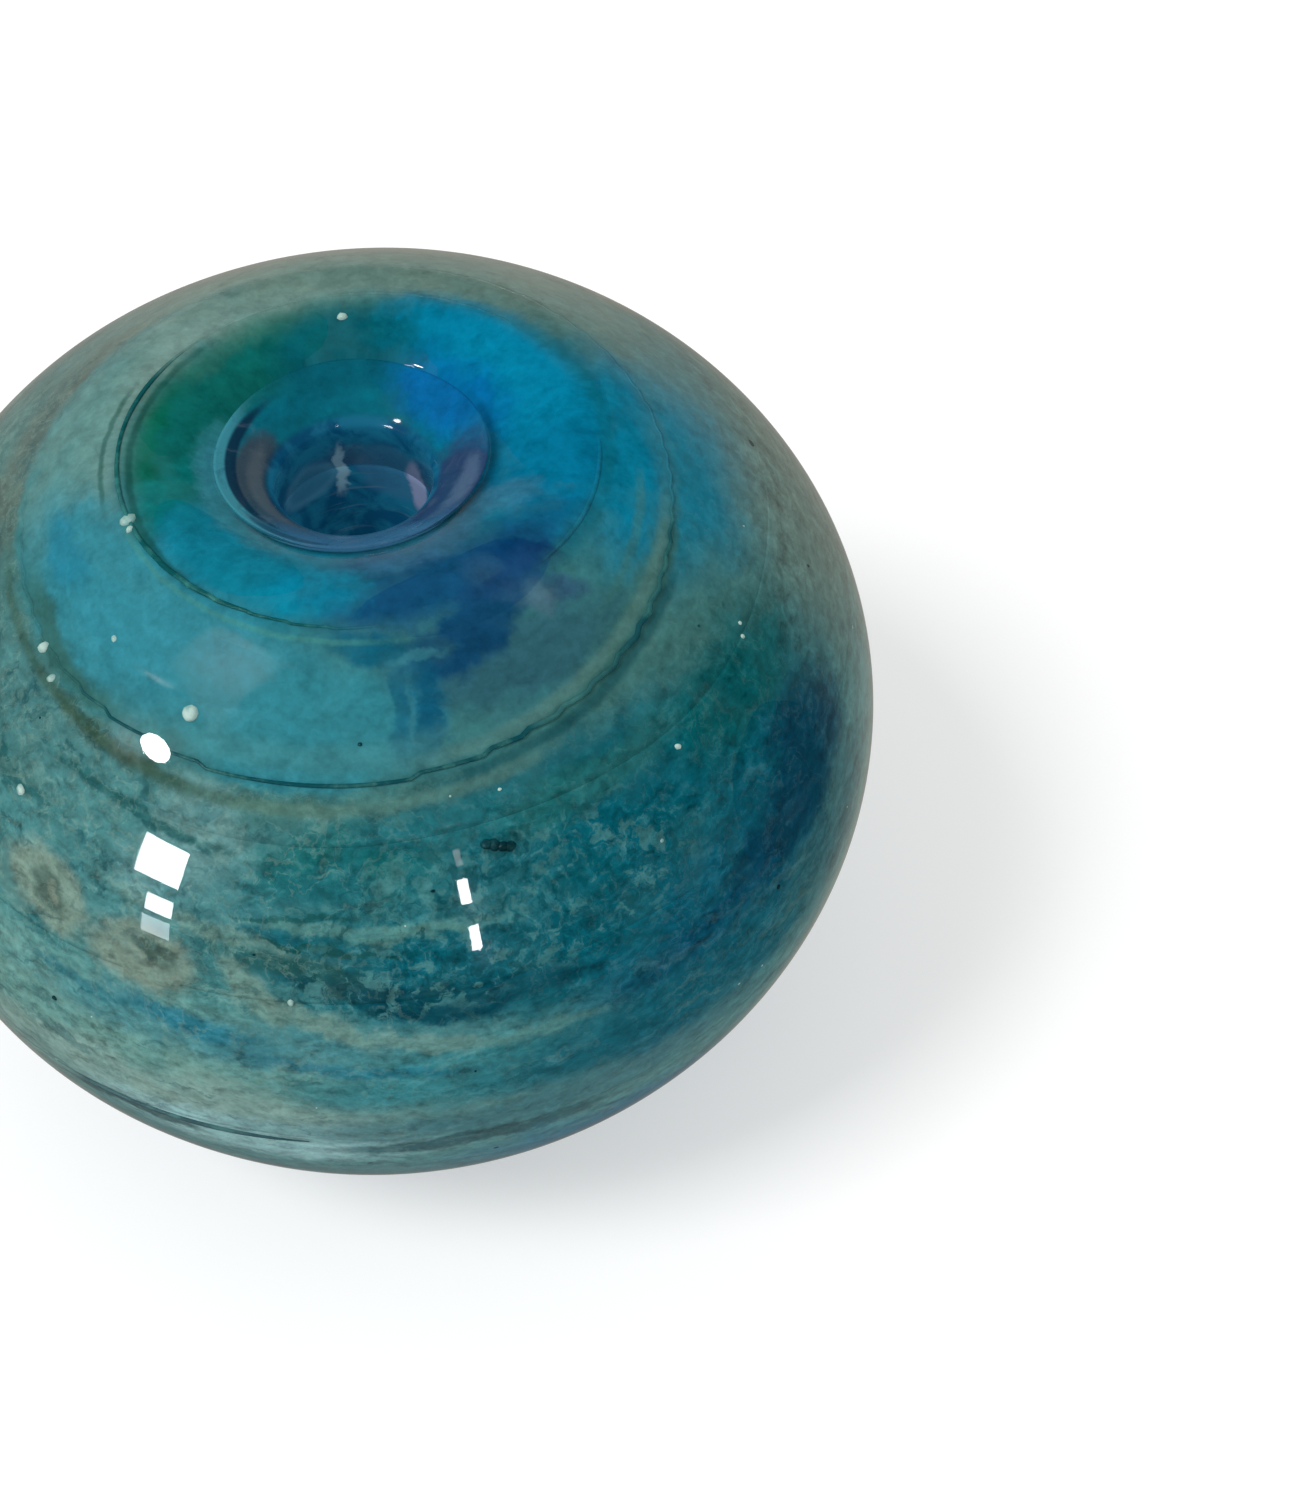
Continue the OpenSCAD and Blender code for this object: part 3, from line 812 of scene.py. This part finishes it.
def build_core():
    """The dark gather under the wraps, out to the lips and in to the sleeve."""
    def section(azimuth):
        spread = [RUN_LIP + (RUN_END - 2 * RUN_LIP) * i / 60 for i in range(61)]
        outer = [(layer_point(azimuth, run, WRAP_BOTTOM - 0.1 * MM), run) for run in spread]
        wall = [Vector((SLEEVE_R - 0.05 * MM, z)) for z in (-LIP_FLOOR, 0.0, LIP_FLOOR)]
        return outer + [(spin(p, azimuth), RUN_END / 2) for p in wall]
    core = lathe("core_gather_glass", section, 120)
    dress(core, "core_gather", field_material("core_gather", srgb(6, 84, 96), 0.6))


def build_sleeve():
    """The bore's wall, a tube with a slightly uneven inside."""
    def section(azimuth):
        inner, outer = [], []
        for i in range(41):
            z = -LIP_FLOOR + 2 * LIP_FLOOR * i / 40
            bump = 0.04 * MM * (1 + noise.noise(spin(Vector((BORE_R, z)), azimuth) * 500))
            inner.append((spin(Vector((BORE_R + bump, z)), azimuth), 0.0))
        for z in (LIP_FLOOR, -LIP_FLOOR):
            outer.append((spin(Vector((SLEEVE_R, z)), azimuth), 0.0))
        return inner + outer
    dress(lathe("bore_sleeve_glass", section, 160), "bore_sleeve", sleeve_material())


def build_lip(node, side, material):
    """A lip ring: the bead's dimple from the bore's wall out to the casing. side is 1 or -1."""
    def section(azimuth):
        edge = RUN_LIP + 0.012 * wave(azimuth, 0.2, 31 * side, 2.5)
        points = [(spin(Vector((BORE_R + 0.02 * MM, LIP_FLOOR - 0.1 * MM)), azimuth), 0.0)]
        for i in range(25):
            run = edge * i / 24
            points.append((layer_point(azimuth, run, skin_depth(azimuth, run) * 0.8), run))
        last = points[-1][0]
        radius = math.hypot(last.x, last.y)
        points.append((spin(Vector((radius, LIP_FLOOR - 0.1 * MM)), azimuth), edge))
        if side < 0:
            points = [(Vector((p.x, p.y, -p.z)), run) for p, run in points]
        return points
    dress(lathe(node + "_glass", section, 200), node, material)


def build_casing():
    """The clear shell over all, its inner face just inside the wraps' faces."""
    start = 0.97 * RUN_LIP

    def section(azimuth):
        return layer_section(azimuth, start, RUN_END - start, 150, skin_depth, WRAP_TOP + 0.3 * MM)
    casing = lathe("clear_casing_glass", section, 300)
    dress(casing, "clear_casing", casing_material())
    casing.visible_shadow = False
    casing.visible_diffuse = False


# Patches: azimuth and run of the middle, half span in degrees, half width in bead radii, tint
PATCHES = {
    "cerulean_patch": (113, 0.30, 50, 0.15, (4, 120, 156)),
    "violet_patch": (24, 0.34, 31, 0.10, (24, 74, 118)),
    "turquoise_patch": (-47, 0.25, 34, 0.08, (6, 118, 140)),
    "emerald_patch": (-138, 0.26, 48, 0.09, (18, 100, 92)),
    "aqua_patch": (-42, 0.50, 36, 0.08, (52, 132, 146)),
    "navy_patch": (54, 1.12, 11, 0.24, (2, 66, 86)),
    "teal_patch": (26, 0.95, 13, 0.10, (6, 92, 102)),
    "tan_patch_left": (-50, 1.04, 6, 0.10, (116, 138, 128)),
    "tan_patch_right": (-31, 1.07, 6, 0.10, (112, 132, 122)),
}


def build_patch(node):
    """A lens of coloured glass pressed into the wraps, its outline uneven and its rim sunk."""
    azimuth, run, half_a, half_r, tint = PATCHES[node]
    rings, around = 18, 96
    vertices, runs, faces = [], [], []
    for face in (0, 1):
        for i in range(rings + 1):
            share = i / rings
            for k in range(around):
                turn = 2 * math.pi * k / around
                edge = noise.noise(Vector((math.cos(turn), math.sin(turn), azimuth)) * 1.4)
                reach = share * (1 + 0.10 * edge)
                a = azimuth + half_a * reach * math.cos(turn)
                r = max(run + half_r * reach * math.sin(turn), RUN_LIP + 0.004)
                rise = 0.07 * MM * (1 - share**4) - 0.03 * MM
                depth = wrap_depth(a, r) - rise if face == 0 else WRAP_TOP + (1.3 - 1.2 * share**3) * MM
                vertices.append(layer_point(a, r, depth))
                runs.append(r)
    for face in (0, 1):
        base = face * (rings + 1) * around
        for i in range(rings):
            for k in range(around):
                j = (k + 1) % around
                a, b = base + i * around + k, base + i * around + j
                c, d = base + (i + 1) * around + j, base + (i + 1) * around + k
                faces.append((a, b, c, d))
    edge, under = rings * around, (2 * rings + 1) * around
    for k in range(around):
        j = (k + 1) % around
        faces.append((edge + k, edge + j, under + j, under + k))
    patch = finish_mesh(node + "_glass", vertices, faces, runs, weld=True)
    dress(patch, node, field_material(node, srgb(*tint), 0.25))


def tube(name, path, radii, runs_along, sides=10):
    """A round thread along a list of points, with a radius at each."""
    vertices, runs, faces = [], [], []
    count = len(path)
    closed = (path[0] - path[-1]).length < 1e-6
    if closed:
        path, radii, runs_along = path[:-1], radii[:-1], runs_along[:-1]
        count -= 1
    for i in range(count):
        before = path[(i - 1) % count] if closed or i > 0 else path[i]
        after = path[(i + 1) % count] if closed or i < count - 1 else path[i]
        along = (after - before).normalized()
        out = path[i].normalized()
        across = along.cross(out).normalized()
        out = across.cross(along).normalized()
        for k in range(sides):
            turn = 2 * math.pi * k / sides
            vertices.append(path[i] + radii[i] * (math.cos(turn) * across + math.sin(turn) * out))
            runs.append(runs_along[i])
    for i in range(count if closed else count - 1):
        j = (i + 1) % count
        for k in range(sides):
            m = (k + 1) % sides
            faces.append((i * sides + k, i * sides + m, j * sides + m, j * sides + k))
    if not closed:
        faces.append(tuple(range(sides)))
        faces.append(tuple((count - 1) * sides + k for k in range(sides)))
    return finish_mesh(name, vertices, faces, runs)


def loop_run(azimuth, centre, radius):
    """Run where a circle off the bead's axis, seen from above, crosses an azimuth."""
    a = math.radians(azimuth)
    direction = Vector((math.sin(a), -math.cos(a)))
    along = direction.dot(centre)
    reach = along + math.sqrt(max(radius**2 - centre.length_squared + along**2, 0))
    return run_at_radius(reach, RUN_CREST + 1e-9)


def trail(node, run_of, first, sweep, width, tints, shown, seed):
    """A thread laid on the wraps, thinner and thicker as a hand draws it. It shows over the half span
    shown[1] around the azimuth shown[0], and lies a little deeper elsewhere."""
    material = thread_material(node + "_thread", srgb(*tints[0]), srgb(*tints[1]), shown)
    whole_turn = abs(sweep) >= 360
    steps = 220
    path, radii, runs_along = [], [], []
    for i in range(steps + 1):
        share = i / steps
        azimuth = first + sweep * share
        wobble = 0.010 * wave(azimuth, 0.7, seed, 2.4)
        run = run_of(azimuth) + wobble
        ends = 1.0 if whole_turn else min(1, 12 * share, 12 * (1 - share)) ** 0.5
        radii.append(max(width / 2 * ends * (0.75 + 0.5 * wave(azimuth, 0.7, seed + 5, 3)), 0.02 * MM))
        beyond = abs((azimuth - shown[0] + 180) % 360 - 180) - shown[1] + 20
        sunk = THREAD_SUNK * min(1, max(0, beyond / 20))
        path.append(layer_point(azimuth, run, wrap_depth(azimuth, run) + sunk - 0.02 * MM))
        runs_along.append(run)
    if whole_turn:
        path[-1] = path[0].copy()
    dress(tube(node + "_glass", path, radii, runs_along), node, material)


def ring_run(ring):
    """Run of a ring around the crown, as a function of azimuth."""
    centre, radius = Vector(ring[:2]) * MM, ring[2] * MM
    return lambda azimuth: loop_run(azimuth, centre, radius)


def build_trails():
    """The two threads around the crown, and two more around the side."""
    trail("crown_trail", ring_run(CROWN_RING), -180, 360, 0.15 * MM,
          ((8, 76, 78), (44, 112, 108)), (-70, 75), 41)
    trail("shoulder_trail", ring_run(SHOULDER_RING), -180, 360, 0.17 * MM,
          ((10, 68, 76), (44, 98, 96)), (10, 75), 47)
    trail("belly_trail", lambda a: 1.09 + 0.03 * math.sin(math.radians(3 * a)), -165, 105, 0.30 * MM,
          ((104, 124, 110), (84, 112, 102)), (-100, 70), 53)
    trail("hip_trail", lambda a: 1.58 + 0.02 * math.sin(math.radians(2 * a)), -158, 144, 0.34 * MM,
          ((26, 72, 80), (60, 110, 112)), (-20, 60), 59)


def crumb(vertices, faces, runs, azimuth, run, size):
    """Adds one uneven crumb that stands on the wraps."""
    bm = bmesh.new()
    bmesh.ops.create_icosphere(bm, subdivisions=2, radius=1.0)
    centre = layer_point(azimuth, run, wrap_depth(azimuth, run) + 0.20 * size)
    seed = Vector((azimuth, run * 10, size / MM))
    stretch = Vector((random.uniform(0.7, 1.5), random.uniform(0.7, 1.3), random.uniform(0.7, 1.1)))
    base = len(vertices)
    for v in bm.verts:
        p = v.co * (1 + 0.25 * noise.noise(v.co * 1.5 + seed))
        vertices.append(centre + Vector((p.x * stretch.x, p.y * stretch.y, p.z * stretch.z)) * size)
        runs.append(run)
    faces.extend([tuple(base + v.index for v in f.verts) for f in bm.faces])
    bm.free()


def build_frit(node, spots, count, sizes, low_run, high_run, material):
    """Crumbs at stated spots, and a fine scatter of smaller ones around the bead."""
    vertices, faces, runs = [], [], []
    for azimuth, run, size in spots:
        crumb(vertices, faces, runs, azimuth, run, size * MM)
    for _ in range(count):
        crumb(vertices, faces, runs, random.uniform(-180, 180), random.uniform(low_run, high_run),
              random.uniform(*sizes) * MM)
    dress(finish_mesh(node + "_glass", vertices, faces, runs), node, material)


# Crumbs that stand out in the photo: azimuth, run and radius in millimetres
# The largest pale crumb, at azimuth -33 and run 0.588, is a painted highlight: it stands for a faint
# second reflection of the room lamp.
PALE_SPOTS = [
    (-64, 0.64, 0.22), (-54.5, 0.89, 0.20), (-53, 0.53, 0.15), (-59, 0.67, 0.17), (-73, 0.335, 0.19),
    (-70, 0.35, 0.12), (178, 0.28, 0.15), (-14, 1.13, 0.13), (34, 0.98, 0.09), (42, 0.84, 0.10),
    (62, 0.80, 0.08), (-33, 0.588, 0.36)]
DARK_SPOTS = [(11.8, 0.835, 0.20), (12.8, 0.842, 0.22), (13.8, 0.848, 0.20), (14.8, 0.852, 0.14),
              (48, 1.28, 0.1), (-44, 1.30, 0.1), (100, 0.8, 0.12), (-150, 0.9, 0.14)]


def build_all():
    """Every piece, in the order that the random scatter of the crumbs needs."""
    build_wraps()
    build_core()
    build_sleeve()
    lips = lip_material()
    build_lip("top_lip", 1, lips)
    build_lip("bottom_lip", -1, lips)
    for node in PATCHES:
        build_patch(node)
    build_trails()
    build_frit("pale_frit", PALE_SPOTS, 60, (0.03, 0.06), 0.7, 2.2,
               thread_material("pale_crumbs", srgb(176, 200, 192), srgb(120, 160, 156)))
    build_frit("dark_frit", DARK_SPOTS, 40, (0.03, 0.07), 0.6, 2.2,
               thread_material("dark_crumbs", srgb(4, 40, 46), srgb(20, 74, 80)))
    build_casing()


# ------------------------------ stage, light and camera
def build_floor():
    """A plain white table under the bead, that does not show in reflections."""
    mesh = bpy.data.meshes.new("table")
    half = 3.0
    corners = [(-half, -half), (half, -half), (half, half), (-half, half)]
    mesh.from_pydata([(x, y, -CREST_Z) for x, y in corners], [], [(0, 1, 2, 3)])
    floor = new_object("table", mesh)
    material, shader, n = new_material("table_white")
    grain = n.noise(n.place(), 90.0, 3.0)[0]
    n.give(shader, Base_Color=n.mix(grain, (0.59, 0.59, 0.59, 1), (0.61, 0.61, 0.61, 1)),
           Roughness=0.9, Specular_IOR_Level=0.0, Emission_Color=(1, 1, 1, 1),
           Emission_Strength=TABLE_GLOW)
    mesh.materials.append(material)
    floor.visible_glossy = False


HIGHLIGHT_REACH = 0.6
# Lamps that show only as highlights: name, direction, width and height in metres at the reach,
# brightness, colour
HIGHLIGHTS = [
    ("window_upper", (-0.725, -0.575, 0.265), (0.105, 0.105), 34, (0.96, 0.99, 1.0)),
    ("window_lower", (-0.734, -0.620, 0.080), (0.060, 0.048), 30, (0.84, 0.94, 1.0)),
    ("window_sill", (-0.742, -0.622, -0.025), (0.062, 0.050), 9, (0.84, 0.94, 1.0)),
    ("room_lamp", (-0.730, -0.322, 0.620), (0.078, 0.050), 60, (1.0, 0.97, 0.92)),
    ("gap_top", (0.205, -0.84, 0.400), (0.014, 0.045), 4, (1.0, 1.0, 1.0)),
    ("gap_upper", (0.210, -0.88, 0.255), (0.022, 0.070), 40, (1.0, 1.0, 1.0)),
    ("gap_lower", (0.228, -0.93, 0.040), (0.020, 0.075), 40, (1.0, 1.0, 1.0)),
]


def area_light(name, direction, distance, size, radiance, colour=(1, 1, 1), round_lamp=False):
    """A lamp that faces the bead from a direction. radiance is its brightness as seen."""
    data = bpy.data.lights.new(name, "AREA")
    data.shape = "ELLIPSE" if round_lamp else "RECTANGLE"
    data.size, data.size_y = size
    area = size[0] * size[1] * (math.pi / 4 if round_lamp else 1)
    data.energy = radiance * math.pi * area
    data.color = colour
    lamp = new_object(name, data)
    away = Vector(direction).normalized()
    lamp.location = away * distance
    lamp.rotation_euler = away.to_track_quat("Z", "Y").to_euler()
    lamp.visible_camera = False
    return lamp


def build_lights():
    """A window, a lamp and a lit gap that only reflections see, and one soft lamp that they don't."""
    for name, direction, size, radiance, colour in HIGHLIGHTS:
        lamp = area_light(name, direction, HIGHLIGHT_REACH, size, radiance, colour, name == "room_lamp")
        lamp.visible_diffuse = False
    sky = area_light("sky_panel", (-0.57, -0.25, 0.93), 0.5, (0.15, 0.15), 20.0)
    sky.visible_glossy = False


def build_world():
    """Even white light on the glass and table. Reflections see a dim ceiling and front, and a tan
    room low down behind, and the pale table straight below."""
    world = bpy.data.worlds.new("room")
    bpy.context.scene.world = world
    world.use_nodes = True
    n = Nodes(world.node_tree)
    back = world.node_tree.nodes["Background"]
    _, depth, height = n.separate(n.add("ShaderNodeTexCoord").outputs["Generated"])
    behind = n.times(n.ramp(height, 0.30, -0.1), n.ramp(depth, 0.15, 0.6))
    room = n.mix(behind, (0.010, 0.011, 0.012, 1), (0.33, 0.31, 0.27, 1))
    room = n.mix(n.ramp(height, -0.78, -0.94), room, (0.15, 0.155, 0.155, 1))
    glossy = n.add("ShaderNodeLightPath").outputs["Is Glossy Ray"]
    n.give(back, Color=n.mix(glossy, (0.71, 0.71, 0.71, 1), room), Strength=1.0)


def build_camera():
    """The camera looks down at 47 degrees, tipped 6.5 degrees, with the bead left of the middle."""
    data = bpy.data.cameras.new("camera")
    camera = new_object("camera", data)
    bpy.context.scene.camera = camera
    elevation, tip = math.radians(47), math.radians(6.5)
    distance = 8 * BEAD_R
    aside, below = 0.0702, 0.0108  # where the camera aims, next to and under the bead's centre
    data.sensor_width = 36
    data.lens = 95.2
    data.clip_start, data.clip_end = 0.01, 20
    position = Vector((0, -math.cos(elevation), math.sin(elevation))) * distance
    forward = -position.normalized()
    right = Vector((1, 0, 0))
    up = right.cross(forward)
    right, up = right * math.cos(tip) - up * math.sin(tip), up * math.cos(tip) + right * math.sin(tip)
    forward = (forward + aside * right - below * up).normalized()
    right = (right - right.dot(forward) * forward).normalized()
    up = right.cross(forward)
    turned = Matrix((right, up, -forward)).transposed().to_4x4()
    camera.matrix_world = Matrix.Translation(position) @ turned


def set_look():
    """Colours straight to the screen, without bright stray dots."""
    scene = bpy.context.scene
    scene.view_settings.view_transform = "Standard"
    scene.cycles.use_denoising = True
    scene.cycles.caustics_reflective = False
    scene.cycles.sample_clamp_indirect = 4.0


build_camera()
build_floor()
build_lights()
build_world()
set_look()
build_all()
